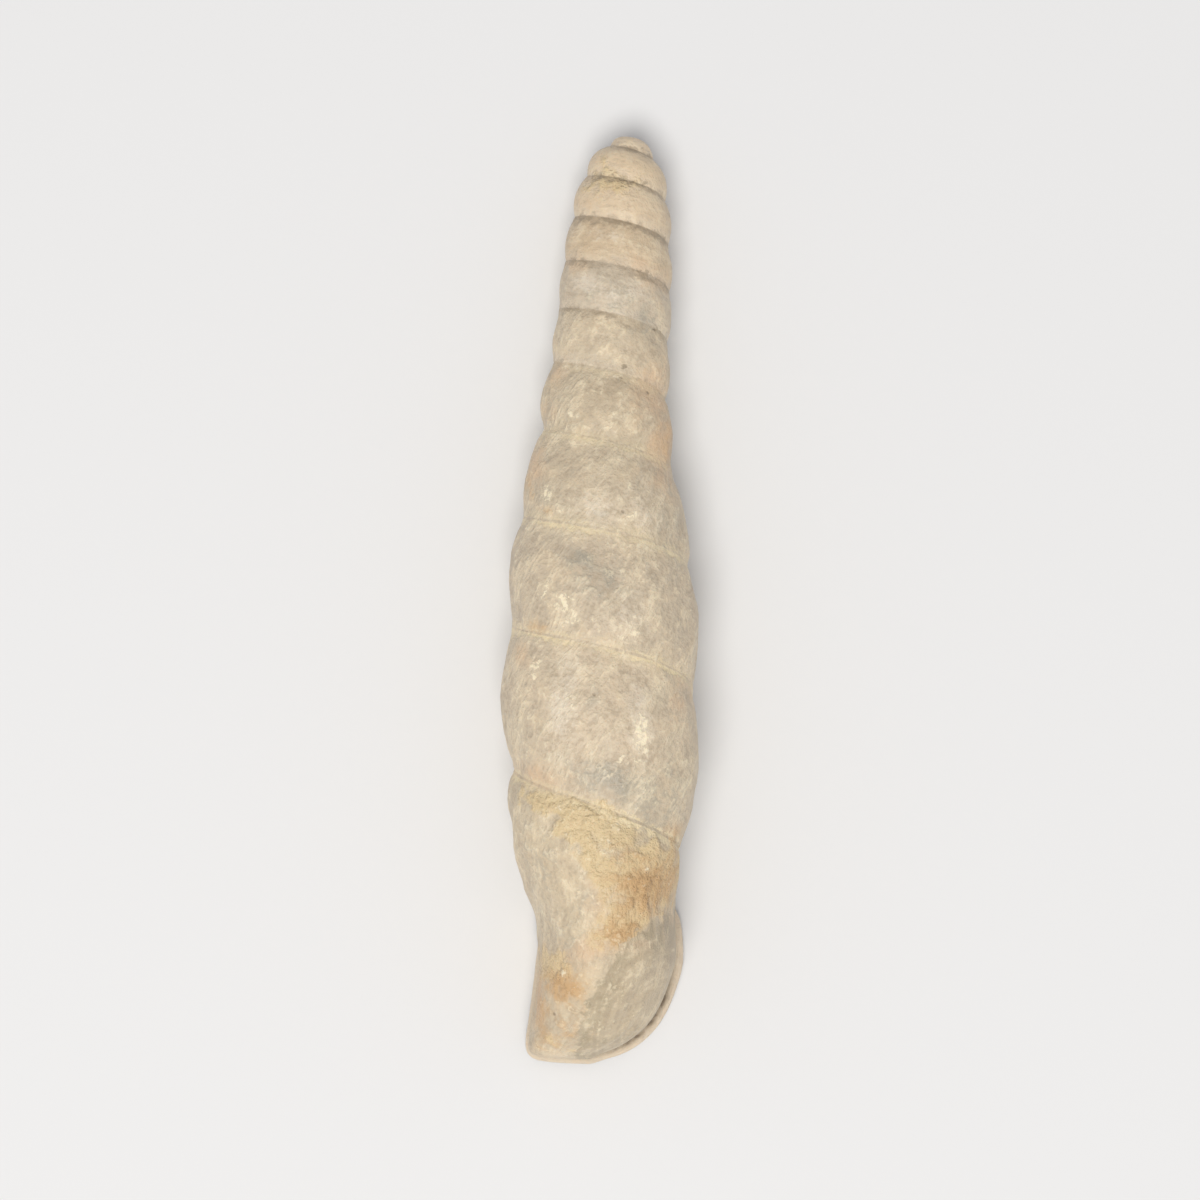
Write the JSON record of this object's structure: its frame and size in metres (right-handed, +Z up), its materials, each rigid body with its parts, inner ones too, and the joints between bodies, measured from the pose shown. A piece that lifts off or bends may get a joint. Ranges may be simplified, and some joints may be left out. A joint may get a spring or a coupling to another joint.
{
  "type": "door snail shell",
  "caption": "Slender left-handed spindle of a land snail shell: blunt ribless spire, body whorl, narrow neck and a flared lip round a pear-shaped mouth with folds inside, lying mouth down.",
  "frame": {"origin": "middle of the footprint, on the surface that the shell lies on", "axes": "+Y along the shell towards its apex, +Z up out of its back, +X to the right as seen from above with the apex away; the mouth faces down"},
  "size_m": [0.0064, 0.0306, 0.0065],
  "materials": {
    "shell": "weathered lime shell: chalky cream with grey, semi-clear patches and tan stains, dull to softly satin, fine slanting growth lines"
  },
  "bodies": {
    "root": {"shell": "shell"}
  },
  "joints": []
}
